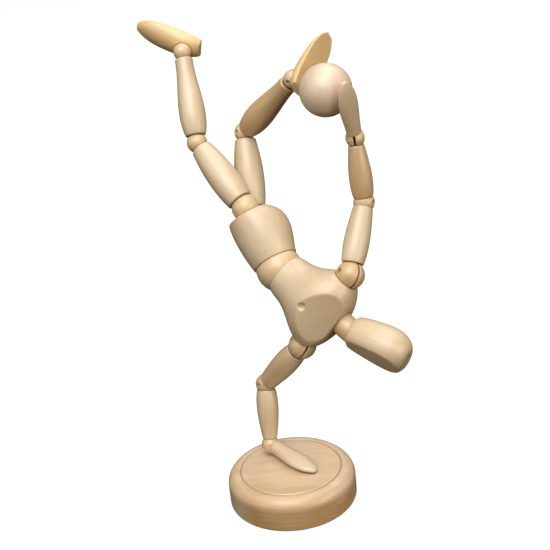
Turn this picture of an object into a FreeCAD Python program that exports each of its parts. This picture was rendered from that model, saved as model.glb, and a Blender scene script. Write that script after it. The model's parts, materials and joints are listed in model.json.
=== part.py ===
"""Jointed wooden artist's figure, balanced on one hand on a round base and holding a ball.

Every piece is built in its own frame and then placed by walking the joint chain up from the
base: swivel about the parent's axis, bend about the bead's cross pin, then a fixed twist.
Lengths are millimetres and angles are degrees.
"""
import FreeCAD, Part
import os
from FreeCAD import Placement, Rotation, Vector

doc = FreeCAD.newDocument("ArtistFigure")
sheet = doc.addObject("Spreadsheet::Sheet", "Dimensions")

SIZES = {
    # round base
    "base_radius": 42.0,
    "base_height": 21.5,
    "base_top_round": 8.0,
    "base_bottom_round": 1.5,
    "base_groove_radius": 33.1,
    "base_groove_wire": 0.7,
    "screw_radius": 1.5,
    "screw_head_radius": 3.2,
    "screw_head_depth": 2.4,
    "screw_bite": 1.5,
    # joint hardware, the same in every joint
    "running_gap": 0.05,
    "pin_radius": 0.8,
    "plug_radius": 2.8,
    "plug_top": 1.7,
    "plug_inset": 1.0,
    "stem_radius": 1.2,
    "stem_head_radius": 2.2,
    "stem_head_depth": 1.2,
    "end_wall": 2.5,
    "blind_stem": 5.0,
    "eye_radius": 2.0,
    "eye_width": 1.2,
    "eye_shank_radius": 0.5,
    "slot_width": 1.5,
    "slot_room": 2.3,
    "slot_floor": 0.75,
    "pin_reach": 0.74,
    "pin_sink": 0.21,
    "bore_radius": 3.2,
    "coil_radius": 2.3,
    "coil_wire": 0.75,
    "coil_pitch": 1.4,
    "rim_round": 0.8,
    # beads
    "wrist_bead": 6.0,
    "elbow_bead": 6.8,
    "shoulder_bead": 9.0,
    "ankle_bead": 6.0,
    "knee_bead": 6.8,
    "hip_bead": 9.1,
    "waist_bead": 15.0,
    "neck_radius": 7.7,
    "neck_span": 8.0,
    "neck_back": 2.5,
    # turned limbs, from the joint nearer the body to the joint further away
    "upper_arm_span": 47.0,
    "upper_arm_top_gap": 7.2,
    "upper_arm_top_rim": 6.9,
    "upper_arm_belly_at": 19.0,
    "upper_arm_belly": 8.1,
    "upper_arm_taper_at": 32.0,
    "upper_arm_taper": 7.5,
    "upper_arm_low_gap": 3.7,
    "upper_arm_low_rim": 6.3,
    "forearm_span": 41.0,
    "forearm_top_gap": 3.7,
    "forearm_top_rim": 6.3,
    "forearm_belly_at": 13.0,
    "forearm_belly": 7.3,
    "forearm_taper_at": 26.0,
    "forearm_taper": 6.5,
    "forearm_low_gap": 4.2,
    "forearm_low_rim": 4.9,
    "thigh_span": 56.0,
    "thigh_top_gap": 6.2,
    "thigh_top_rim": 8.5,
    "thigh_belly_at": 21.0,
    "thigh_belly": 9.9,
    "thigh_taper_at": 38.0,
    "thigh_taper": 9.0,
    "thigh_low_gap": 4.8,
    "thigh_low_rim": 6.9,
    "shin_span": 62.0,
    "shin_top_gap": 4.8,
    "shin_top_rim": 6.7,
    "shin_belly_at": 15.0,
    "shin_belly": 8.6,
    "shin_taper_at": 34.0,
    "shin_taper": 7.7,
    "shin_low_gap": 4.9,
    "shin_low_rim": 6.0,
    # chest, seen from the waist bead up; widths are halves
    "shoulder_reach": 29.0,
    "shoulder_height": 42.0,
    "chest_rim_at": 5.0,
    "chest_rim": 13.9,
    "chest_low_at": 14.0,
    "chest_low_wide": 15.9,
    "chest_low_deep": 15.4,
    "chest_mid_at": 28.0,
    "chest_mid_wide": 22.4,
    "chest_mid_deep": 19.6,
    "chest_high_at": 42.0,
    "chest_high_wide": 28.2,
    "chest_high_deep": 19.6,
    "chest_cap_at": 51.0,
    "chest_cap_wide": 21.4,
    "chest_cap_deep": 15.4,
    "chest_top_at": 54.0,
    "chest_top_wide": 12.0,
    "chest_top_deep": 11.0,
    "collar_at": 35.0,
    "collar_front": 21.0,
    "collar_tilt": 33.0,
    "collar_dome": 60.0,
    "collar_crest": 14.0,
    "thumbnail_radius": 3.4,
    "thumbnail_out": 0.5,
    "neck_socket_depth": 1.5,
    "neck_stem_depth": 6.0,
    # pelvis, seen from the waist bead down
    "pelvis_rim_at": 5.0,
    "pelvis_rim": 14.9,
    "pelvis_flare_at": 14.0,
    "pelvis_flare_wide": 17.6,
    "pelvis_flare_deep": 17.0,
    "pelvis_flare_centre": 0.5,
    "pelvis_belly_at": 27.0,
    "pelvis_belly_wide": 20.2,
    "pelvis_belly_deep": 18.8,
    "pelvis_belly_centre": 1.4,
    "pelvis_seat_at": 36.2,
    "pelvis_seat_wide": 20.8,
    "pelvis_seat_deep": 17.2,
    "pelvis_seat_centre": 0.2,
    "pelvis_end_at": 42.0,
    "pelvis_end_wide": 19.4,
    "pelvis_end_deep": 10.9,
    "pelvis_end_centre": -3.8,
    "pelvis_bore_end": 28.0,
    "hip_reach": 10.0,
    "hip_depth": 43.5,
    "hip_tilt": 10.0,
    "hip_face": 4.2,
    "hip_stem_depth": 3.2,
    # head, seen from the neck pin to the crown
    "head_base_at": 1.2,
    "head_base": 9.9,
    "head_jaw_at": 7.5,
    "head_jaw": 12.0,
    "head_cheek_at": 18.0,
    "head_cheek": 13.8,
    "head_brow_at": 29.5,
    "head_brow": 14.0,
    "head_crown_at": 36.8,
    "head_crown": 10.8,
    "head_tip_at": 40.0,
    "head_tip": 3.0,
    "face_flat": 9.2,
    # hand, from the wrist bead to the fingertips
    "hand_heel_at": 3.6,
    "hand_heel_wide": 5.0,
    "hand_heel_deep": 4.4,
    "hand_neck_at": 10.0,
    "hand_neck_wide": 5.4,
    "hand_neck_deep": 4.1,
    "hand_palm_at": 19.0,
    "hand_palm_wide": 6.7,
    "hand_palm_deep": 3.6,
    "hand_knuckle_at": 27.0,
    "hand_knuckle_wide": 7.0,
    "hand_knuckle_deep": 3.2,
    "hand_finger_at": 35.0,
    "hand_finger_wide": 5.2,
    "hand_finger_deep": 2.4,
    "hand_tip_at": 40.5,
    "hand_tip_wide": 1.5,
    "hand_tip_deep": 1.0,
    "hand_screw_at": 25.0,
    # foot, lengths along the sole from under the ankle bead
    "sole_depth": 10.0,
    "foot_heel_at": -9.5,
    "foot_heel_wide": 6.4,
    "foot_heel_deep": 4.9,
    "foot_heel_centre": 9.6,
    "foot_ankle_at": 0.0,
    "foot_ankle_wide": 9.0,
    "foot_ankle_deep": 8.8,
    "foot_ankle_centre": 9.6,
    "foot_instep_at": 14.0,
    "foot_instep_wide": 9.8,
    "foot_instep_deep": 8.2,
    "foot_instep_centre": 9.6,
    "foot_ball_at": 26.0,
    "foot_ball_wide": 8.8,
    "foot_ball_deep": 5.6,
    "foot_ball_centre": 9.6,
    "foot_tip_at": 37.0,
    "foot_tip_wide": 2.9,
    "foot_tip_deep": 2.1,
    "foot_tip_centre": 9.8,
    "screw_eye_radius": 1.0,
    "hand_eye_length": 6.0,
    "foot_eye_length": 3.0,
    "head_eye_length": 9.0,
    # held ball
    "ball_radius": 16.1,
    "ball_at": 28.0,
    "palm_to_ball": 2.6,
    "spigot_radius": 1.8,
    "spigot_length": 3.2,
    # how the figure stands: support hand, then swivel, bend and twist joint by joint
    "hand_x": -12.0,
    "hand_y": 16.5,
    "hand_z": 29.5,
    "hand_heading": -46.0,
    "hand_pitch": 9.0,
    "left_wrist_swivel": 14.0,
    "left_wrist_bend": 70.0,
    "left_elbow_swivel": -5.0,
    "left_elbow_bend": 54.0,
    "left_shoulder_swivel": 146.0,
    "left_shoulder_bend": 16.0,
    "left_shoulder_twist": -45.0,
    "right_shoulder_swivel": 56.0,
    "right_shoulder_bend": 40.0,
    "right_elbow_swivel": 114.0,
    "right_elbow_bend": 37.0,
    "right_wrist_swivel": 24.0,
    "right_wrist_bend": 25.0,
    "right_wrist_twist": -134.0,
    "waist_swivel": 105.0,
    "waist_bend": 20.0,
    "waist_twist": -170.0,
    "neck_swivel": 81.0,
    "neck_bend": 15.0,
    "neck_twist": -30.0,
    "right_hip_swivel": -39.0,
    "right_hip_bend": 11.0,
    "right_knee_swivel": -151.0,
    "right_knee_bend": 28.0,
    "right_ankle_swivel": 68.0,
    "right_ankle_bend": 44.0,
    "right_ankle_twist": -44.0,
    "left_hip_swivel": 140.0,
    "left_hip_bend": 30.0,
    "left_knee_swivel": -2.0,
    "left_knee_bend": 71.0,
    "left_ankle_swivel": 30.0,
    "left_ankle_bend": 37.0,
    "left_ankle_twist": -66.0,
}

for row, (alias, value) in enumerate(SIZES.items(), 1):
    sheet.set(f"A{row}", alias.replace("_", " "))
    sheet.set(f"B{row}", str(value))
    sheet.setAlias(f"B{row}", alias)
doc.recompute()

X_AXIS = Vector(1, 0, 0)
Y_AXIS = Vector(0, 1, 0)
Z_AXIS = Vector(0, 0, 1)
NODES = []
# beads slotted across their whole face; the rest are slotted only under the next piece's cup
OPEN_SLOTS = {"right_shoulder_bead", "right_wrist_bead", "left_shoulder_bead", "left_ankle_bead"}
# beads whose cross pin is buried; the rest show its sunk ends
PLAIN_BEADS = {"waist_bead", "right_hip_bead", "left_hip_bead", "right_knee_bead",
               "right_ankle_bead", "left_wrist_bead"}


def size(alias):
    """Value of one spreadsheet cell."""
    return float(sheet.get(alias))


def bind(obj, formulas):
    """Drive properties from the spreadsheet; # stands for a cell."""
    for prop, formula in formulas.items():
        obj.setExpression(prop, formula.replace("#", "Dimensions."))
    return obj


def at(x="0", y="0", z="0"):
    return {"Placement.Base.x": x, "Placement.Base.y": y, "Placement.Base.z": z}


def tipped(angle, x, y, z):
    """Corner of a tool turned about X, given along the turned axes."""
    cos, sin = f"cos({angle} * 1deg)", f"sin({angle} * 1deg)"
    return at(x, f"({y}) * {cos} - ({z}) * {sin}", f"({y}) * {sin} + ({z}) * {cos}")


def ball(name, radius, where):
    obj = doc.addObject("Part::Sphere", name)
    return bind(obj, {"Radius": radius, **where})


def rod(name, radius, length, where, turn=Rotation()):
    """Cylinder that starts at a point and runs along its own turned Z."""
    obj = doc.addObject("Part::Cylinder", name)
    obj.Placement = Placement(Vector(), turn)
    return bind(obj, {"Radius": radius, "Height": length, **where})


def block(name, width, depth, height, where, turn=Rotation()):
    obj = doc.addObject("Part::Box", name)
    obj.Placement = Placement(Vector(), turn)
    return bind(obj, {"Length": width, "Width": depth, "Height": height, **where})


def join(name, shapes):
    obj = doc.addObject("Part::MultiFuse", name)
    obj.Shapes = shapes
    return obj


def cut(name, base, tools):
    """Base less one tool or several."""
    obj = doc.addObject("Part::Cut", name)
    obj.Base = base
    obj.Tool = tools[0] if len(tools) == 1 else join(name + "_tools", tools)
    return obj


def loft(name, rings):
    obj = doc.addObject("Part::Loft", name)
    obj.Sections = rings
    obj.Solid = True
    obj.Ruled = False
    return obj


def turned(name, stations):
    """Round blank through (height, radius) stations, with its rims eased."""
    rings = []
    for height, radius in stations:
        ring = doc.addObject("Part::Circle", name + "_ring")
        rings.append(bind(ring, {"Radius": radius, **at(z=height)}))
    return eased(name, loft(name + "_blank", rings))


def oval(name, stations, lying=False):
    """Oval blank through (distance, half width, half depth, centre) stations."""
    rings = []
    for distance, wide, deep, centre in stations:
        ring = doc.addObject("Part::Ellipse", name + "_ring")
        where = at(z=distance, y=centre)
        if lying:
            ring.Placement = Placement(Vector(), Rotation(X_AXIS, 90))
            where = at(y=distance, z=centre)
        rings.append(bind(ring, {"MajorRadius": wide, "MinorRadius": deep, **where}))
    return eased(name, loft(name + "_blank", rings))


def eased(name, blank):
    """Round the closed rims of a blank."""
    doc.recompute()
    obj = doc.addObject("Part::Fillet", name + "_eased")
    obj.Base = blank
    ease = size("rim_round")
    rims = [i for i, edge in enumerate(blank.Shape.Edges, 1) if edge.isClosed()]
    obj.Edges = [(i, ease, ease) for i in rims]
    return obj


def place(obj, node, placement):
    """Name a finished piece, stand it in the figure and list it for export."""
    obj.Placement = placement
    obj.Label = node
    NODES.append(obj)
    return obj


def turn(axis, angle):
    return Placement(Vector(), Rotation(axis, angle))


def shift(x=0, y=0, z=0):
    return Placement(Vector(x, y, z), Rotation())


# ---------------------------------------------------------------- joint pieces

def bead(name, radius, bend, placement):
    """Wooden bead: plug hole from the parent's side, slot open to the child's side."""
    half = f"2 * {radius}" if name in OPEN_SLOTS else f"{radius} / 2"
    body = ball(name + "_ball", radius, at())
    reach = f"#pin_reach * {radius}"
    across = Rotation(Y_AXIS, 90)
    hole = rod(name + "_hole", "#plug_radius", f"{radius} + #plug_top + 1", at(z=f"-{radius} - 1"))
    slot = block(name + "_slot", "#slot_width", f"2 * ({half})", f"2 * {radius}",
                 tipped(bend, "-#slot_width / 2", f"-({half})", "-#slot_room"),
                 Rotation(X_AXIS, size(bend[1:])))
    pin = rod(name + "_pin_hole", "#pin_radius", f"2 * {reach}", at(x=f"-{reach}"), across)
    tools = [hole, slot, pin]
    if name not in PLAIN_BEADS:
        tools += [rod(name + "_sink", f"#pin_sink * {radius}", "5", at(x=x), across)
                  for x in (reach, f"-{reach} - 5")]
    if name in OPEN_SLOTS:
        tools.append(ring_slot(name, radius))
    return place(cut(name, body, tools), name, placement)


def ring_slot(name, radius):
    """Saw cut all the way round a bead, in the plane that its eye swings in."""
    start = at(x="-#slot_width / 2")
    across = Rotation(Y_AXIS, 90)
    disc = rod(name + "_cut", f"{radius} + 1", "#slot_width", start, across)
    core = rod(name + "_core", f"#slot_floor * {radius}", "#slot_width", start, across)
    return cut(name + "_ring", disc, [core])


def link(name, radius, stem, placement, headed=False, pin_bead=None):
    """Steel plug with the cross pin, and a stem that swivels in the parent piece."""
    pin_bead = pin_bead or radius
    foot = f"({radius} - #plug_inset)"
    plug = rod(name + "_plug", "#plug_radius", f"{foot} + #plug_top", at(z=f"-{foot}"))
    gap = block(name + "_gap", "#slot_width", "4 * #plug_radius", "10", at(
        "-#slot_width / 2", "-2 * #plug_radius", "-#slot_room"))
    pin = rod(name + "_pin", "#pin_radius", f"2 * #pin_reach * {pin_bead}",
              at(x=f"-#pin_reach * {pin_bead}"), Rotation(Y_AXIS, 90))
    shank = rod(name + "_stem", "#stem_radius", f"{stem} - {foot}", at(z=f"-({stem})"))
    pieces = [cut(name + "_fork", plug, [gap]), pin, shank]
    if headed:
        pieces.append(rod(name + "_head", "#stem_head_radius", "#stem_head_depth",
                          at(z=f"-({stem})")))
    return place(join(name, pieces), name, placement)


def eye(name, tail):
    """Wire eye that rides on a cross pin, with its straight shank."""
    ring = rod(name + "_ring", "#eye_radius", "#eye_width", at(x="-#eye_width / 2"),
               Rotation(Y_AXIS, 90))
    hole = rod(name + "_pin_hole", "#pin_radius + #running_gap", "2 * #eye_width",
               at(x="-#eye_width"), Rotation(Y_AXIS, 90))
    shank = rod(name + "_shank", "#eye_shank_radius", f"{tail} - 1.5", at(z="1.5"))
    return [cut(name + "_eye", ring, [hole]), shank]


def spring(name, start, end, turns, placement):
    """Close-wound spring on an eye, its last turn wedged in the bore."""
    coil_start = f"({start} + 1.4)"
    core_start = f"({coil_start} + #coil_wire)"
    wedge = f"({end} - 1.5)"
    pieces = eye(name, f"({core_start} + 0.5)")
    pieces.append(rod(name + "_core", "#coil_radius", f"{wedge} + 0.5 - {core_start}",
                      at(z=core_start)))
    pieces.append(rod(name + "_wedge", "#bore_radius", "1.5", at(z=wedge)))
    for i in range(turns):
        ring = doc.addObject("Part::Torus", name + "_turn")
        bind(ring, {"Radius1": "#coil_radius", "Radius2": "#coil_wire",
                    **at(z=f"{core_start} + {i} * #coil_pitch")})
        pieces.append(ring)
    return place(join(name, pieces), name, placement)


def coil_turns(room):
    """Whole turns of wire that fit between the eye and the wedged turn."""
    return int((room - 6.6) / size("coil_pitch"))


def screw_eye(name, radius, length, placement):
    """Eye with a screwed tail, sunk in a solid wooden piece."""
    pieces = eye(name, f"({radius} + 0.5)")
    pieces.append(rod(name + "_tail", "#screw_eye_radius", length, at(z=radius)))
    return place(join(name, pieces), name, placement)


# ---------------------------------------------------------------- figure pieces

def limb(name, part, beads, placement, upended=False):
    """Turned limb, cupped at both ends and bored; upended starts at its lower end."""
    span = f"#{part}_span"
    flip = (lambda height: f"{span} - ({height})") if upended else (lambda height: height)
    body = turned(name, [
        (flip(f"#{part}_top_gap"), f"#{part}_top_rim"),
        (flip(f"#{part}_belly_at"), f"#{part}_belly"),
        (flip(f"#{part}_taper_at"), f"#{part}_taper"),
        (flip(f"{span} - #{part}_low_gap"), f"#{part}_low_rim"),
    ])
    start, end = beads
    inner_end = f"({span} - {end} - #running_gap - #end_wall)"
    tools = [
        ball(name + "_start_cup", f"{start} + #running_gap", at()),
        ball(name + "_end_cup", f"{end} + #running_gap", at(z=span)),
        rod(name + "_bore", "#bore_radius", inner_end, at()),
        rod(name + "_stem_hole", "#stem_radius + #running_gap", span, at()),
    ]
    place(cut(name, body, tools), name, placement)
    room = size(part + "_span") - size(start[1:]) - size(end[1:]) - size("end_wall")
    spring(name + "_spring", start, f"({inner_end} - 2)", coil_turns(room), placement)


def hand(name, placement, resting=False):
    """Mitten hand; +Z runs to the fingertips and -Y is the palm."""
    stations = ("heel", "neck", "palm", "knuckle", "finger", "tip")
    body = oval(name, [
        (f"#hand_{s}_at", f"#hand_{s}_wide", f"#hand_{s}_deep", "0") for s in stations
    ])
    cup = ball(name + "_cup", "#wrist_bead + #running_gap", at())
    tools = [cup] + (resting_cuts(name) if resting else holding_cuts(name))
    place(cut(name, body, tools), name, placement)


def resting_cuts(name):
    """Stem hole, flat where the fingers rest on the base, and the screw's hole."""
    down = "(90 - #hand_pitch)"
    lean = Rotation(X_AXIS, 90 - size("hand_pitch"))
    stem = rod(name + "_stem_hole", "#stem_radius + #running_gap",
               "#wrist_bead + #blind_stem + 0.4", at())
    floor = block(name + "_floor", "60", "70", "20",
                  tipped(down, "-30", "-10", "#hand_z - #base_height"), lean)
    pilot = rod(name + "_pilot", "#screw_radius", "16",
                tipped(down, "0", "#hand_screw_at * cos(#hand_pitch * 1deg)",
                       "#hand_screw_at * sin(#hand_pitch * 1deg) - #screw_bite"), lean)
    return [stem, floor, pilot]


def holding_cuts(name):
    """Hole for the wrist's eye, and the ball's seat and spigot hole in the palm."""
    tail = rod(name + "_eye_hole", "#screw_eye_radius", "#hand_eye_length", at(z="#wrist_bead"))
    seat = ball(name + "_ball_seat", "#ball_radius",
                at(y="-#ball_radius - #palm_to_ball", z="#ball_at"))
    spigot = rod(name + "_spigot_hole", "#spigot_radius", "#spigot_length",
                 at(y="#spigot_length - #palm_to_ball - 0.5", z="#ball_at"), Rotation(X_AXIS, 90))
    return [tail, seat, spigot]


def held_ball(name, placement):
    """Ball with a spigot that is pressed into the palm."""
    body = ball(name + "_ball", "#ball_radius", at(y="-#ball_radius - #palm_to_ball", z="#ball_at"))
    spigot = rod(name + "_spigot", "#spigot_radius", "#spigot_length + 1",
                 at(y="#spigot_length - #palm_to_ball - 0.5", z="#ball_at"), Rotation(X_AXIS, 90))
    place(join(name, [body, spigot]), name, placement)


def foot(name, placement):
    """Foot; +Y runs to the toes and +Z is down through the sole."""
    stations = ("heel", "ankle", "instep", "ball", "tip")
    body = oval(name, [
        (f"#foot_{s}_at", f"#foot_{s}_wide", f"#foot_{s}_deep", f"#foot_{s}_centre")
        for s in stations
    ], lying=True)
    tools = [
        ball(name + "_cup", "#ankle_bead + #running_gap", at()),
        block(name + "_sole", "60", "80", "20", at("-30", "-30", "#sole_depth")),
        rod(name + "_eye_hole", "#screw_eye_radius", "#foot_eye_length", at(z="#ankle_bead")),
    ]
    place(cut(name, body, tools), name, placement)


def chest(placement):
    """Chest; the waist bead is at the origin, +X is the figure's right and +Y its front."""
    stations = ("low", "mid", "high", "cap", "top")
    rings = [("#chest_rim_at", "#chest_rim", "#chest_rim", "0")]
    rings += [(f"#chest_{s}_at", f"#chest_{s}_wide", f"#chest_{s}_deep", "0") for s in stations]
    body = oval("chest", rings)
    across = Rotation(Y_AXIS, 90)
    shoulder = "#shoulder_bead + #running_gap"
    tools = [
        ball("chest_waist_cup", "#waist_bead + #running_gap", at()),
        ball("chest_left_cup", shoulder, at(x="-#shoulder_reach", z="#shoulder_height")),
        ball("chest_right_cup", shoulder, at(x="#shoulder_reach", z="#shoulder_height")),
        rod("chest_cross_bore", "#bore_radius", "2 * #shoulder_reach - #shoulder_bead"
            " - #running_gap - #end_wall", at(x="-#shoulder_reach", z="#shoulder_height"), across),
        rod("chest_shoulder_hole", "#stem_radius + #running_gap", "#shoulder_reach",
            at(z="#shoulder_height"), across),
        rod("chest_waist_hole", "#stem_radius + #running_gap",
            "#waist_bead + #blind_stem + 0.4", at()),
        rod("chest_neck_socket", "#neck_radius + #running_gap", "20",
            at(y="-#neck_back", z="#chest_top_at - #neck_socket_depth")),
        rod("chest_neck_hole", "#stem_radius + #running_gap", "20",
            at(y="-#neck_back", z="#chest_top_at - #neck_stem_depth - 0.3")),
        collar_face(),
        ball("chest_thumbnail", "#thumbnail_radius",
             at(y="#collar_front + #thumbnail_out", z="#collar_at - #thumbnail_out")),
    ]
    place(cut("chest", body, tools), "chest", placement)


def collar_face():
    """Slanting, slightly domed face across the front of the chest, up to the neck."""
    cos, sin = "cos(#collar_tilt * 1deg)", "sin(#collar_tilt * 1deg)"
    out = f"(#collar_front * {cos} + #collar_at * {sin})"
    along = f"(#collar_at * {cos} - #collar_front * {sin} + #collar_crest)"
    slab = block("chest_collar_slab", "80", "60", "90",
                 tipped("#collar_tilt", "-40", f"{out} - 20", f"{along} - 45"),
                 Rotation(X_AXIS, size("collar_tilt")))
    dome = rod("chest_collar_dome", "#collar_dome", "90",
               tipped("#collar_tilt", "-45", f"{out} - #collar_dome", along),
               Rotation(Y_AXIS, 90))
    return cut("chest_collar", slab, [dome])


def pelvis(placement, hips):
    """Pelvis; the waist bead is at the origin, +Z runs down to the hips and +Y is the back."""
    rings = [("#pelvis_rim_at", "#pelvis_rim", "#pelvis_rim", "0")]
    rings += [(f"#pelvis_{s}_at", f"#pelvis_{s}_wide", f"#pelvis_{s}_deep", f"#pelvis_{s}_centre")
              for s in ("flare", "belly", "seat", "end")]
    body = oval("pelvis", rings)
    tools = [
        ball("pelvis_waist_cup", "#waist_bead + #running_gap", at()),
        rod("pelvis_bore", "#bore_radius", "#pelvis_bore_end", at()),
    ]
    for side, hip in hips.items():
        tools += hip_cuts(side, hip)
    place(cut("pelvis", body, tools), "pelvis", placement)


def hip_cuts(side, hip):
    """Cup, slanting face and stem hole of one hip, standing in its socket frame."""
    sign = "" if side == "right" else "-"
    lean = hip.Rotation
    cos, sin = "cos(#hip_tilt * 1deg)", "sin(#hip_tilt * 1deg)"
    centre = at(x=f"{sign}#hip_reach", z="#hip_depth")
    back = "(#hip_bead + #hip_stem_depth + 0.3)"
    hole = rod(side + "_hip_hole", "#stem_radius + #running_gap", back,
               at(x=f"{sign}(#hip_reach - {back} * {sin})", z=f"#hip_depth - {back} * {cos}"), lean)
    face = rod(side + "_hip_face", "30", "30",
               at(x=f"{sign}(#hip_reach - #hip_face * {sin})",
                  z=f"#hip_depth - #hip_face * {cos}"), lean)
    cup = ball(side + "_hip_cup", "#hip_bead + #running_gap", centre)
    return [hole, face, cup]


def neck(placement):
    """Neck piece; its cross pin is at the origin and it turns in the chest below."""
    foot = "(#neck_span + #neck_socket_depth - #running_gap)"
    post = rod("neck_post", "#neck_radius", foot, at(z=f"-{foot}"))
    crown = ball("neck_crown", "#neck_radius", at())
    body = join("neck_blank", [post, crown])
    hole = rod("neck_hole", "#plug_radius", f"{foot} + #plug_top + 1", at(z=f"-{foot} - 1"))
    pin = rod("neck_pin_hole", "#pin_radius", "2 * #pin_reach * #neck_radius",
              at(x="-#pin_reach * #neck_radius"), Rotation(Y_AXIS, 90))
    slot = block("neck_slot", "#slot_width", "40", "20",
                 tipped("#neck_bend", "-#slot_width / 2", "-20", "-#slot_room"),
                 Rotation(X_AXIS, size("neck_bend")))
    place(cut("neck", body, [hole, slot, pin]), "neck", placement)


def head(placement):
    """Egg-shaped head with a flat face; the neck pin is at the origin."""
    stations = ("base", "jaw", "cheek", "brow", "crown", "tip")
    body = turned("head", [(f"#head_{s}_at", f"#head_{s}") for s in stations])
    tools = [
        ball("head_cup", "#neck_radius + #running_gap", at()),
        block("head_face", "60", "30", "80", at("-30", "#face_flat", "-10")),
        rod("head_eye_hole", "#screw_eye_radius", "#head_eye_length", at(z="#neck_radius")),
    ]
    place(cut("head", body, tools), "head", placement)


def base_disc():
    """Round base with a large eased top edge and a turned groove."""
    disc = rod("base_blank", "#base_radius", "#base_height", at())
    doc.recompute()
    eased_disc = doc.addObject("Part::Fillet", "base_eased")
    eased_disc.Base = disc
    top, bottom = size("base_top_round"), size("base_bottom_round")
    rims = [(i, edge) for i, edge in enumerate(disc.Shape.Edges, 1) if edge.isClosed()]
    eased_disc.Edges = [(i, *(2 * [top if edge.CenterOfMass.z > 1 else bottom])) for i, edge in rims]
    groove = doc.addObject("Part::Torus", "base_groove")
    bind(groove, {"Radius1": "#base_groove_radius", "Radius2": "#base_groove_wire",
                  **at(z="#base_height")})
    where = {**screw_spot(), "Placement.Base.z": "0"}
    hole = rod("base_hole", "#screw_radius", "#base_height", where)
    sink = rod("base_sink", "#screw_head_radius", "#screw_head_depth + 0.4", where)
    place(cut("base_disc", eased_disc, [groove, hole, sink]), "base_disc", Placement())


def screw_spot():
    """Where the fixing screw stands under the support hand."""
    run = "#hand_screw_at * cos(#hand_pitch * 1deg)"
    return at(f"#hand_x + {run} * cos(#hand_heading * 1deg)",
              f"#hand_y + {run} * sin(#hand_heading * 1deg)")


def base_screw():
    """Countersunk-depth screw from under the base into the support hand."""
    spot = screw_spot()
    top = "(#hand_z - #hand_screw_at * sin(#hand_pitch * 1deg) + #screw_bite)"
    shank = rod("screw_shank", "#screw_radius", f"{top} - 0.4",
                {**spot, "Placement.Base.z": "0.4"})
    cap = rod("screw_cap", "#screw_head_radius", "#screw_head_depth",
              {**spot, "Placement.Base.z": "0.4"})
    place(join("base_screw", [shank, cap]), "base_screw", Placement())


# ---------------------------------------------------------------- the joint chain

def swing(name, socket):
    """Bead frame and child frame of one joint whose socket's Z points at the child."""
    bead_frame = socket * turn(Z_AXIS, size(name + "_swivel"))
    child_frame = bead_frame * turn(X_AXIS, size(name + "_bend"))
    if name + "_twist" in SIZES:
        child_frame = child_frame * turn(Z_AXIS, size(name + "_twist"))
    return bead_frame, child_frame


def on_pin(name, child_frame):
    """Child frame turned back to where its eye lines up with the bead's cross pin."""
    return child_frame * turn(Z_AXIS, -size(name + "_twist"))


def jointed(name, radius, stem, socket, headed=True):
    """Bead and link of one joint, and the frame of the piece beyond it."""
    bead_frame, child_frame = swing(name, socket)
    bead(name + "_bead", radius, f"#{name}_bend", bead_frame)
    link(name + "_link", radius, stem, bead_frame, headed)
    return child_frame


def through(radius):
    """Stem length that puts a headed stem behind the parent's end wall."""
    return f"({radius} + #running_gap + #end_wall + 0.15 + #stem_head_depth)"


def blind(radius, depth="#blind_stem"):
    return f"({radius} + {depth})"


def beyond(frame, part):
    """Socket frame at the far end of a limb."""
    return frame * shift(z=size(part + "_span"))


def support_arm():
    """Left hand on the base, and the arm up to the shoulder; returns the chest's frame."""
    stand = shift(size("hand_x"), size("hand_y"), size("hand_z"))
    heading = turn(Z_AXIS, size("hand_heading") + 90)
    palm_down = turn(X_AXIS, 90 + size("hand_pitch"))
    hand_frame = stand * heading * palm_down
    hand("left_hand", hand_frame, resting=True)
    socket = hand_frame * turn(X_AXIS, 180)
    forearm = jointed("left_wrist", "#wrist_bead", blind("#wrist_bead"), socket, False)
    limb("left_forearm", "forearm", ("#wrist_bead", "#elbow_bead"), forearm, upended=True)
    upper = jointed("left_elbow", "#elbow_bead", through("#elbow_bead"), beyond(forearm, "forearm"))
    limb("left_upper_arm", "upper_arm", ("#elbow_bead", "#shoulder_bead"), upper, upended=True)
    inward = jointed("left_shoulder", "#shoulder_bead", through("#shoulder_bead"),
                     beyond(upper, "upper_arm"))
    end = ("(2 * #shoulder_reach - #shoulder_bead - #running_gap - #end_wall - 2)")
    room = 2 * size("shoulder_reach") - 2 * size("shoulder_bead") - size("end_wall")
    spring("chest_spring", "#shoulder_bead", end, coil_turns(room),
           on_pin("left_shoulder", inward))
    return inward * turn(Y_AXIS, -90) * shift(size("shoulder_reach"), 0, -size("shoulder_height"))


def raised_arm(chest_frame):
    """Right arm from the chest to the hand that holds the ball."""
    reach = shift(size("shoulder_reach"), 0, size("shoulder_height"))
    socket = chest_frame * reach * turn(Y_AXIS, 90)
    upper = jointed("right_shoulder", "#shoulder_bead", through("#shoulder_bead"), socket)
    limb("right_upper_arm", "upper_arm", ("#shoulder_bead", "#elbow_bead"), upper)
    forearm = jointed("right_elbow", "#elbow_bead", through("#elbow_bead"),
                      beyond(upper, "upper_arm"))
    limb("right_forearm", "forearm", ("#elbow_bead", "#wrist_bead"), forearm)
    palm = jointed("right_wrist", "#wrist_bead", through("#wrist_bead"),
                   beyond(forearm, "forearm"))
    hand("right_hand", palm)
    screw_eye("right_hand_eye", "#wrist_bead", "#hand_eye_length", on_pin("right_wrist", palm))
    held_ball("held_ball", palm)


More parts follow.
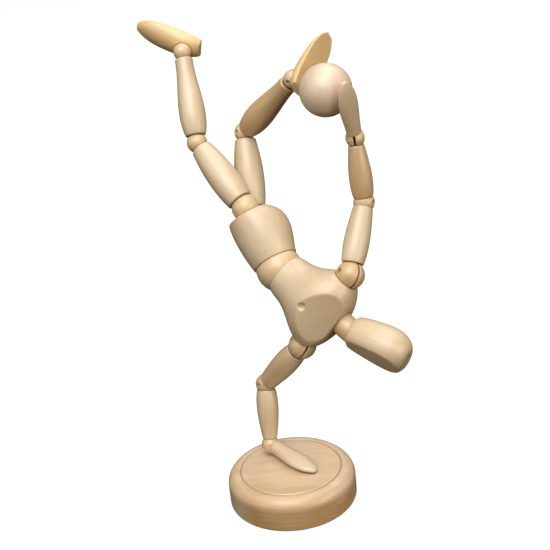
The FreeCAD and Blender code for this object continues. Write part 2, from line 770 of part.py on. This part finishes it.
def trunk(chest_frame):
    """Chest, neck and head, and the pelvis under the waist bead; returns the hips."""
    chest(chest_frame)
    socket = chest_frame * shift(0, -size("neck_back"), size("chest_top_at") + size("neck_span"))
    neck_frame, head_frame = swing("neck", socket)
    neck(neck_frame)
    link("neck_link", "(#neck_span + 1)", "(#neck_span + #neck_stem_depth)", neck_frame,
         pin_bead="#neck_radius")
    head(head_frame)
    screw_eye("head_eye", "#neck_radius", "#head_eye_length", on_pin("neck", head_frame))
    down = jointed("waist", "#waist_bead", blind("#waist_bead"), chest_frame * turn(X_AXIS, 180),
                   False)
    hips = {
        "right": shift(size("hip_reach"), 0, size("hip_depth")) * turn(Y_AXIS, size("hip_tilt")),
        "left": shift(-size("hip_reach"), 0, size("hip_depth")) * turn(Y_AXIS, -size("hip_tilt")),
    }
    pelvis(down, hips)
    room = size("pelvis_bore_end") - size("waist_bead")
    spring("pelvis_spring", "#waist_bead", "#pelvis_bore_end", coil_turns(room + 2),
           on_pin("waist", down))
    return {side: down * hip for side, hip in hips.items()}


def leg(side, socket):
    """Thigh, shin and foot of one side."""
    thigh = jointed(side + "_hip", "#hip_bead", blind("#hip_bead", "#hip_stem_depth"), socket, False)
    limb(side + "_thigh", "thigh", ("#hip_bead", "#knee_bead"), thigh)
    shin = jointed(side + "_knee", "#knee_bead", through("#knee_bead"), beyond(thigh, "thigh"))
    limb(side + "_shin", "shin", ("#knee_bead", "#ankle_bead"), shin)
    sole = jointed(side + "_ankle", "#ankle_bead", through("#ankle_bead"), beyond(shin, "shin"))
    foot(side + "_foot", sole)
    screw_eye(side + "_foot_eye", "#ankle_bead", "#foot_eye_length",
              on_pin(side + "_ankle", sole))


def build():
    base_disc()
    base_screw()
    chest_frame = support_arm()
    raised_arm(chest_frame)
    for side, socket in trunk(chest_frame).items():
        leg(side, socket)


def export():
    """Check every object, then write one STEP file for each node."""
    doc.recompute()
    for obj in doc.Objects:
        if "Invalid" in obj.State or "Error" in obj.State:
            raise RuntimeError(f"{obj.Label} did not recompute")
    os.makedirs("parts", exist_ok=True)
    for obj in NODES:
        shape = obj.Shape
        if shape.isNull() or not shape.isValid():
            raise RuntimeError(f"{obj.Label} has no valid shape")
        shape.exportStep(f"parts/{obj.Label}.step")


build()
export()
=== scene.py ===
"""Looks of a jointed wooden artist's figure in a one-handed handstand on a round base."""
import json
import math

import bmesh
import bpy
from mathutils import Matrix, Vector


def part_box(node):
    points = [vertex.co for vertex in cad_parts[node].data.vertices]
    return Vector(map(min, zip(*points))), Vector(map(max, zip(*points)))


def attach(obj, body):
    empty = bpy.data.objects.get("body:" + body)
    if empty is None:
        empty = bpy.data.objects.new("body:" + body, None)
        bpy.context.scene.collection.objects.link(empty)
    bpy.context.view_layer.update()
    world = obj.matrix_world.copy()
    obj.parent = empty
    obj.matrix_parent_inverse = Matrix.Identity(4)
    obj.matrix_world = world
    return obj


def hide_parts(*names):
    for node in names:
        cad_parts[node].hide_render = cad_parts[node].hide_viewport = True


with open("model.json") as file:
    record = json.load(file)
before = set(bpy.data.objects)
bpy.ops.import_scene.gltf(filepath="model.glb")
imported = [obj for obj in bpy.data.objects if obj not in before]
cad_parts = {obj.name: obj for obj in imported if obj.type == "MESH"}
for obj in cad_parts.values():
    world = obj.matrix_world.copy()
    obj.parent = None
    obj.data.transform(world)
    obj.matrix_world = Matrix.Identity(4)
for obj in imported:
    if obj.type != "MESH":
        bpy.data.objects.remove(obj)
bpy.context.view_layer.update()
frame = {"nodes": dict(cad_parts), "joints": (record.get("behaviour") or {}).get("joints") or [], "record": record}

RECORD = frame["record"]
SLOTS = {row["node"]: row["material_slot"] for row in RECORD["subparts"]}
JOINT_PLACES = {row["name"]: Vector(row["pos_m"]) for row in frame["joints"]}
JOINT_AXES = {row["name"]: Vector(row["axis"]) for row in frame["joints"]}
BODY_OF = {node: body for body, nodes in RECORD["behaviour"]["bodies"].items() for node in nodes}
MM = 0.001

# voxel sizes of the remeshed wood, and smoothing passes of the pieces softer than the turned limbs
BEAD_VOXEL = 0.24 * MM
WOOD_VOXEL = 0.36 * MM
TURNED_PASSES = 3
SOFT_PASSES = {"head": 36, "chest": 14, "pelvis": 10}

# how far each piece's colour is darkened toward honey, piece by piece
HONEY = {
    "left_shin": 0.6, "left_upper_arm": 0.3, "right_forearm": 0.6, "right_shoulder_bead": 0.3,
    "left_elbow_bead": 0.2, "neck": 0.3, "right_foot": 0.1,
}

# texture scales per metre, and how much the grain is stretched along each piece
BROAD_SCALE, RING_SCALE, FINE_SCALE, PORE_SCALE = 60, 95.0, 900, 2600
CLOUD_SCALE, STAIN_SCALE = 45, 30
FINE_STRETCH, STREAK_STRETCH = 0.05, 0.16

# lacquer over the wood
COAT_WEIGHT, COAT_ROUGHNESS, COAT_IOR = 0.8, 0.46, 1.85

# turned groove on top of the base: its radius, and the widths and least height of the shade painted into it
GROOVE_RADIUS = 33.1 * MM
GROOVE_CORE, GROOVE_EDGE = 0.12 * MM, 0.55 * MM
GROOVE_ABOVE = 18 * MM

# stage
FLOOR_WIDTH = 12
FLOOR_NEAR, FLOOR_FAR = 0.80, 0.985
ROOM_LIGHT = 0.18
AIM = (0.02, 0.03, 0.16)
CAMERA_LENS, CAMERA_SENSOR = 60.94, 36
CAMERA_SPOT = Vector((0.0030, -0.5296, 0.3538))
CAMERA_DIP = math.radians(20.5)
CAMERA_ROLL = math.radians(-6.1)


# ---------------------------------------------------------------- frames taken from the CAD

def joint_at(name):
    """Centre of a joint's bead."""
    return JOINT_PLACES[name + "_swivel"]


def middle_of(node):
    low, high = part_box(node)
    return (low + high) / 2


def axes_at(origin, along, side):
    """Frame at origin with Z along one direction and X as near as may be to another."""
    z = along.normalized()
    x = (side - z * side.dot(z)).normalized()
    y = z.cross(x)
    rows = Matrix((x, y, z)).transposed().to_4x4()
    return Matrix.Translation(origin) @ rows


def far_end(node, origin, share=0.02):
    """Middle of the few vertices of a node that are furthest from a point."""
    points = sorted((v.co for v in frame["nodes"][node].data.vertices),
                    key=lambda p: -(p - origin).length)
    few = points[:max(3, int(len(points) * share))]
    return sum(few, Vector()) / len(few)


def flat_side(node):
    """Outward direction of the largest flat face of a node."""
    areas = {}
    for face in frame["nodes"][node].data.polygons:
        key = tuple(round(c, 2) for c in face.normal)
        areas[key] = areas.get(key, 0.0) + face.area
    return Vector(max(areas, key=areas.get)).normalized()


LIMBS = {
    "left_forearm": ("left_wrist", "left_elbow"),
    "left_upper_arm": ("left_elbow", "left_shoulder"),
    "right_upper_arm": ("right_shoulder", "right_elbow"),
    "right_forearm": ("right_elbow", "right_wrist"),
    "left_thigh": ("left_hip", "left_knee"),
    "left_shin": ("left_knee", "left_ankle"),
    "right_thigh": ("right_hip", "right_knee"),
    "right_shin": ("right_knee", "right_ankle"),
}


def frame_of(node):
    """Frame of a wooden piece: its grain runs along Z."""
    if node in LIMBS:
        start, end = LIMBS[node]
        return axes_at(joint_at(start), joint_at(end) - joint_at(start), JOINT_AXES[end + "_bend"])
    if node == "base_disc":
        return axes_at(Vector(), Vector((1, 0, 0)), Vector((0, 0, 1)))
    if node == "chest":
        across = joint_at("right_shoulder") - joint_at("left_shoulder")
        return axes_at(joint_at("waist"), joint_at("neck") - joint_at("waist"), across)
    if node == "pelvis":
        across = joint_at("right_hip") - joint_at("left_hip")
        middle = (joint_at("right_hip") + joint_at("left_hip")) / 2
        return axes_at(joint_at("waist"), middle - joint_at("waist"), across)
    if node in ("head", "neck"):
        centre = joint_at("neck")
        return axes_at(centre, far_end("head", centre) - centre, flat_side("head"))
    if node == "held_ball":
        return axes_at(middle_of("held_ball"), Vector((0.3, 0.2, 1)), Vector((1, 0, 0)))
    if node.endswith("_bead"):
        joint = node[:-len("_bead")]
        side = JOINT_AXES[joint + "_bend"]
        return axes_at(joint_at(joint), JOINT_AXES[joint + "_swivel"], side)
    if node.endswith("_hand"):
        wrist = joint_at(node.split("_")[0] + "_wrist")
        palm = Vector((0, 0, -1)) if node == "left_hand" else middle_of("held_ball") - wrist
        return axes_at(wrist, far_end(node, wrist) - wrist, palm)
    ankle = joint_at(node.split("_")[0] + "_ankle")
    return axes_at(ankle, far_end(node, ankle) - ankle, flat_side(node))


# ---------------------------------------------------------------- materials

class Shader:
    """A material's node tree, with short calls to add and join nodes."""

    def __init__(self, name):
        self.material = bpy.data.materials.new(name)
        self.material.use_nodes = True
        self.tree = self.material.node_tree
        self.surface = self.tree.nodes["Principled BSDF"]

    def add(self, kind, inputs=None, **settings):
        node = self.tree.nodes.new("ShaderNode" + kind)
        for key, value in settings.items():
            setattr(node, key, value)
        for key, value in (inputs or {}).items():
            self.feed(node, key, value)
        return node

    def feed(self, node, key, value):
        if isinstance(value, bpy.types.NodeSocket):
            self.tree.links.new(value, node.inputs[key])
        else:
            node.inputs[key].default_value = value

    def set(self, **values):
        for key, value in values.items():
            self.feed(self.surface, key.replace("_", " "), value)

    def math(self, operation, first, second=0.0):
        return self.add("Math", {0: first, 1: second}, operation=operation).outputs[0]

    def mix(self, share, first, second, blend="MIX"):
        node = self.add("Mix", {0: share, 6: first, 7: second}, data_type="RGBA", blend_type=blend)
        return node.outputs[2]

    def noise(self, where, scale, detail=3.0, rough=0.5):
        node = self.add("TexNoise", {"Vector": where, "Scale": scale, "Detail": detail,
                                     "Roughness": rough})
        return node.outputs[0]

    def piece_value(self, key):
        node = self.add("Attribute", attribute_type="OBJECT", attribute_name=key)
        return node.outputs["Fac"]

    def painted_crease_shade(self, colour):
        """Painted shade: darken the colour where two pieces meet or a cut goes in, as far as nearby surfaces hem
        the point in.
        """
        node = self.add("AmbientOcclusion", {"Distance": 1.6 * MM}, samples=6)
        shade_in_crease = self.add("MapRange", {"Value": node.outputs["AO"], "From Min": 0.15,
                                      "From Max": 0.85, "To Min": 0.75, "To Max": 0.0}).outputs[0]
        # dark brown of the painted crease shade
        return self.mix(shade_in_crease, colour, linear(96, 62, 34))

    def painted_groove_shade(self, colour, place, radius):
        """Painted shade of the base's groove: darken a thin ring round the piece's own X, on its upper side only.
        """
        split = self.add("SeparateXYZ", {0: place}).outputs
        flat = self.add("CombineXYZ", {"Y": split[1], "Z": split[2]}).outputs[0]
        out = self.add("VectorMath", {0: flat}, operation="LENGTH").outputs["Value"]
        away = self.math("ABSOLUTE", self.math("SUBTRACT", out, radius))
        shade_in_groove = self.add("MapRange", {"Value": away, "From Min": GROOVE_CORE,
                                     "From Max": GROOVE_EDGE,
                                     "To Min": 0.6, "To Max": 0.0}).outputs[0]
        on_top = self.math("GREATER_THAN", split[0], GROOVE_ABOVE)
        # brown of the shade painted into the groove
        return self.mix(self.math("MULTIPLY", shade_in_groove, on_top), colour, linear(112, 78, 46))

    def ramp(self, value, stops):
        node = self.add("ValToRGB", {0: value})
        while len(node.color_ramp.elements) < len(stops):
            node.color_ramp.elements.new(0.5)
        for element, (position, shade) in zip(node.color_ramp.elements, stops):
            element.position = position
            element.color = (shade, shade, shade, 1)
        return node.outputs[0]


def linear(red, green, blue):
    """Scene colour of an sRGB value given in 0 to 255."""
    def channel(value):
        value /= 255
        return value / 12.92 if value <= 0.04045 else ((value + 0.055) / 1.055) ** 2.4
    return (channel(red), channel(green), channel(blue), 1)


def grain_of(s, place):
    """Textures of one piece: rings, fine streaks, pores, clouds and stains."""
    seed = s.piece_value("grain_seed")
    offset = s.add("CombineXYZ", {"X": seed, "Y": seed, "Z": seed}).outputs[0]
    where = s.add("VectorMath", {0: place, 1: offset}, operation="ADD").outputs[0]
    along = s.add("Mapping", {"Vector": where, "Scale": (1, 1, FINE_STRETCH)}).outputs[0]
    bent = s.add("Mapping", {"Vector": where, "Scale": (1, 1, STREAK_STRETCH)}).outputs[0]
    broad = s.noise(bent, BROAD_SCALE, 2, 0.5)
    wander = s.add("CombineXYZ", {"X": s.math("MULTIPLY", broad, 0.012),
                                  "Y": s.math("MULTIPLY", broad, 0.02)}).outputs[0]
    drift = s.add("VectorMath", {0: bent, 1: wander}, operation="ADD").outputs[0]
    rings = s.add("TexWave", {"Vector": drift, "Scale": RING_SCALE, "Distortion": 3.5,
                              "Detail": 3.0, "Detail Scale": 2.0},
                  wave_type="BANDS", bands_direction="X").outputs[0]
    return {
        "rings": rings,
        "fine": s.noise(along, FINE_SCALE, 4, 0.6),
        "pores": s.ramp(s.noise(along, PORE_SCALE, 2, 0.5), [(0.30, 1.0), (0.42, 0.0)]),
        "cloud": s.noise(where, CLOUD_SCALE, 3, 0.55),
        "stain": s.ramp(s.noise(bent, STAIN_SCALE, 2, 0.5), [(0.42, 0.0), (0.62, 1.0)]),
    }


def wood_colour(s, grain, pale, deep, streak, amber):
    """Pale to deep along the grain, then honey for the piece and amber for its stains."""
    def swing(texture, strength):
        return s.math("MULTIPLY", s.math("SUBTRACT", texture, 0.5), strength)

    mood = swing(grain["rings"], 0.35 * streak)
    mood = s.math("ADD", mood, swing(grain["fine"], 0.9 * streak))
    mood = s.math("ADD", mood, swing(grain["cloud"], 0.9))
    colour = s.mix(s.math("ADD", mood, 0.42), pale, deep)
    honey_toned = s.mix(1.0, colour, linear(228, 200, 146), "MULTIPLY")
    colour = s.mix(s.piece_value("honey"), colour, honey_toned)
    colour = s.mix(s.math("MULTIPLY", grain["stain"], amber), colour, honey_toned)
    flecks = s.math("MULTIPLY", grain["pores"], 0.16 * streak)
    return s.mix(flecks, colour, (deep[0] * 0.5, deep[1] * 0.42, deep[2] * 0.35, 1))


def wood(name, pale, deep, streak=0.5, amber=0.15, groove=0.0):
    """Satin lacquered pale wood whose grain runs along each piece's own Z, with painted shade in its creases and,
    where a groove is given, painted shade in the groove.
    """
    s = Shader(name)
    place = s.add("TexCoord").outputs["Object"]
    grain = grain_of(s, place)
    # painted shade darkens the creases where pieces meet and where cuts go in
    colour = s.painted_crease_shade(wood_colour(s, grain, pale, deep, streak, amber))
    # on the base, shade is painted into the turned groove
    if groove:
        colour = s.painted_groove_shade(colour, place, groove)
    fine, pores = grain["fine"], grain["pores"]
    rough = s.math("ADD", s.math("MULTIPLY", fine, 0.22), 0.32)
    rough = s.math("ADD", rough, s.math("MULTIPLY", pores, 0.10))
    height = s.math("SUBTRACT", s.math("MULTIPLY", fine, 0.6), s.math("MULTIPLY", pores, 0.5))
    bump = s.add("Bump", {"Height": height, "Strength": 0.08, "Distance": 0.0003})
    s.set(Base_Color=colour, Roughness=rough, Normal=bump.outputs[0],
          Coat_Weight=COAT_WEIGHT, Coat_Roughness=COAT_ROUGHNESS, Coat_IOR=COAT_IOR)
    return s.material


def steel(name, tint):
    """Drawn steel wire, lightly brushed along its length."""
    s = Shader(name)
    place = s.add("TexCoord").outputs["Object"]
    along = s.add("Mapping", {"Vector": place, "Scale": (1, 1, 0.08)}).outputs[0]
    fine = s.noise(along, 2400, 3, 0.6)
    cloud = s.noise(place, 260, 3, 0.5)
    shadow = (tint[0] * 0.6, tint[1] * 0.58, tint[2] * 0.55, 1)
    colour = s.mix(s.math("MULTIPLY", cloud, 0.6), tint, shadow)
    rough = s.math("ADD", s.math("MULTIPLY", fine, 0.25), 0.22)
    bump = s.add("Bump", {"Height": fine, "Strength": 0.15, "Distance": 0.0001})
    s.set(Base_Color=colour, Roughness=rough, Metallic=1.0, Normal=bump.outputs[0])
    return s.material


MATERIALS = {
    "figure_wood": wood("figure_wood", linear(224, 201, 165), linear(204, 172, 130), streak=0.45),
    "bead_wood": wood("bead_wood", linear(226, 199, 154), linear(206, 171, 120), streak=0.50),
    "foot_wood": wood("foot_wood", linear(238, 203, 145), linear(224, 184, 119), streak=0.55),
    "ball_wood": wood("ball_wood", linear(227, 204, 176), linear(211, 182, 148), streak=0.35),
    "base_wood": wood("base_wood", linear(234, 205, 168), linear(208, 171, 128), streak=0.75,
                      amber=0.8, groove=GROOVE_RADIUS),
    "pin_steel": steel("pin_steel", linear(168, 168, 170)),
    "spring_steel": steel("spring_steel", linear(140, 140, 143)),
    "screw_steel": steel("screw_steel", linear(186, 186, 188)),
}


# ---------------------------------------------------------------- pieces

def refine(node, voxel, passes):
    """Replace a CAD solid by an even, softly edged copy that stands in the piece's own frame."""
    place = frame_of(node)
    solid = bmesh.new()
    solid.from_mesh(frame["nodes"][node].data)
    bmesh.ops.remove_doubles(solid, verts=solid.verts, dist=0.002 * MM)
    mesh = bpy.data.meshes.new(node + "_wood")
    solid.to_mesh(mesh)
    solid.free()
    mesh.transform(place.inverted())
    piece = bpy.data.objects.new(node + "_wood", mesh)
    bpy.context.scene.collection.objects.link(piece)
    piece.matrix_world = place
    grid = piece.modifiers.new("even", "REMESH")
    grid.mode = "VOXEL"
    grid.voxel_size = voxel
    soft = piece.modifiers.new("soft", "SMOOTH")
    soft.factor = 0.5
    soft.iterations = passes
    apply_modifiers(piece)
    finish_piece(piece, node)


def apply_modifiers(piece):
    bpy.context.view_layer.update()
    evaluated = piece.evaluated_get(bpy.context.evaluated_depsgraph_get())
    piece.data = bpy.data.meshes.new_from_object(evaluated)
    piece.modifiers.clear()


def finish_piece(piece, node):
    """Shade a piece, give it its wood and let it ride in place of the CAD node."""
    for face in piece.data.polygons:
        face.use_smooth = True
    piece.data.materials.clear()
    piece.data.materials.append(MATERIALS[SLOTS[node]])
    piece["grain_seed"] = 0.37 * (1 + sorted(SLOTS).index(node))
    piece["honey"] = HONEY.get(node, 0.0)
    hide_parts(node)
    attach(piece, BODY_OF[node])


def build_wood():
    coarse = 1.0
    for node, slot in SLOTS.items():
        if not slot.endswith("_wood"):
            continue
        voxel = BEAD_VOXEL if slot == "bead_wood" else WOOD_VOXEL
        refine(node, voxel * coarse, SOFT_PASSES.get(node, TURNED_PASSES))


def build_metal():
    """The steel parts stay as the CAD made them."""
    for node, slot in SLOTS.items():
        if slot.endswith("_steel"):
            shown = frame["nodes"][node]
            shown.data.materials.clear()
            shown.data.materials.append(MATERIALS[slot])


# ---------------------------------------------------------------- stage

def floor():
    """Pale sheet that brightens away from the figure and keeps a faint contact shadow."""
    bpy.ops.mesh.primitive_plane_add(size=FLOOR_WIDTH, location=(0, 0, 0))
    sheet = bpy.context.object
    sheet.name = "floor"
    s = Shader("floor")
    place = s.add("TexCoord").outputs["Object"]
    away = s.add("VectorMath", {0: place}, operation="LENGTH").outputs["Value"]
    spread = s.add("MapRange", {"Value": away, "From Min": 0.05, "From Max": 0.7,
                                "To Min": FLOOR_NEAR, "To Max": FLOOR_FAR}).outputs[0]
    glow = s.math("ADD", spread, s.math("MULTIPLY", s.noise(place, 40, 2), 0.004))
    shade = s.mix(s.noise(place, 25, 3), (0.30, 0.30, 0.30, 1), (0.33, 0.33, 0.325, 1))
    s.set(Base_Color=shade, Roughness=0.95, Emission_Color=(1, 1, 0.995, 1),
          Emission_Strength=glow)
    s.surface.inputs["Specular IOR Level"].default_value = 0.0
    sheet.data.materials.append(s.material)
    sheet.visible_diffuse = False
    sheet.visible_glossy = False


def lamp(name, position, width, power, colour=(1, 1, 1)):
    """Soft square lamp that faces the middle of the figure."""
    data = bpy.data.lights.new(name, "AREA")
    data.size = width
    data.energy = power
    data.color = colour
    holder = bpy.data.objects.new(name, data)
    holder.location = position
    holder.rotation_euler = (Vector(AIM) - Vector(position)).to_track_quat("-Z", "Y").to_euler()
    bpy.context.scene.collection.objects.link(holder)


def surround():
    """White to the camera; to the wood a dim room, cool above and brown below."""
    world = bpy.data.worlds.new("studio")
    world.use_nodes = True
    tree = world.node_tree
    tree.nodes.clear()
    output = tree.nodes.new("ShaderNodeOutputWorld")
    room = tree.nodes.new("ShaderNodeBackground")
    room.inputs["Strength"].default_value = ROOM_LIGHT
    white = tree.nodes.new("ShaderNodeBackground")
    white.inputs["Color"].default_value = (0.99, 0.99, 0.985, 1)
    seen = tree.nodes.new("ShaderNodeLightPath")
    choice = tree.nodes.new("ShaderNodeMixShader")
    place = tree.nodes.new("ShaderNodeTexCoord")
    split = tree.nodes.new("ShaderNodeSeparateXYZ")
    height = tree.nodes.new("ShaderNodeMapRange")
    height.inputs["From Min"].default_value = -0.5
    height.inputs["From Max"].default_value = 0.7
    shade = tree.nodes.new("ShaderNodeMix")
    shade.data_type = "RGBA"
    shade.inputs[6].default_value = (0.17, 0.11, 0.07, 1)
    shade.inputs[7].default_value = (0.95, 0.97, 1.00, 1)
    link = tree.links.new
    link(place.outputs["Generated"], split.inputs[0])
    link(split.outputs["Z"], height.inputs["Value"])
    link(height.outputs[0], shade.inputs[0])
    link(shade.outputs[2], room.inputs["Color"])
    link(seen.outputs["Is Camera Ray"], choice.inputs[0])
    link(room.outputs[0], choice.inputs[1])
    link(white.outputs[0], choice.inputs[2])
    link(choice.outputs[0], output.inputs[0])
    bpy.context.scene.world = world


def studio():
    floor()
    surround()
    lamp("key", (-0.16, -0.62, 1.15), width=1.0, power=13.8, colour=(0.98, 0.99, 1.0))
    lamp("side", (0.85, -0.75, 0.45), width=0.6, power=5.0, colour=(1.0, 0.94, 0.85))
    lamp("far left", (-1.0, -0.40, 0.60), width=0.7, power=2.5, colour=(1.0, 0.96, 0.90))
    lamp("top", (0.28, 0.35, 1.20), width=0.9, power=6.0, colour=(0.96, 0.98, 1.0))
    bpy.context.scene.view_settings.view_transform = "Standard"


def camera():
    data = bpy.data.cameras.new("camera")
    data.lens = CAMERA_LENS
    data.sensor_width = CAMERA_SENSOR
    data.clip_start = 0.01
    holder = bpy.data.objects.new("camera", data)
    holder.matrix_world = (Matrix.Translation(CAMERA_SPOT)
                           @ Matrix.Rotation(math.pi / 2 - CAMERA_DIP, 4, "X")
                           @ Matrix.Rotation(CAMERA_ROLL, 4, "Z"))
    bpy.context.scene.collection.objects.link(holder)
    bpy.context.scene.camera = holder


build_wood()
build_metal()
studio()
camera()
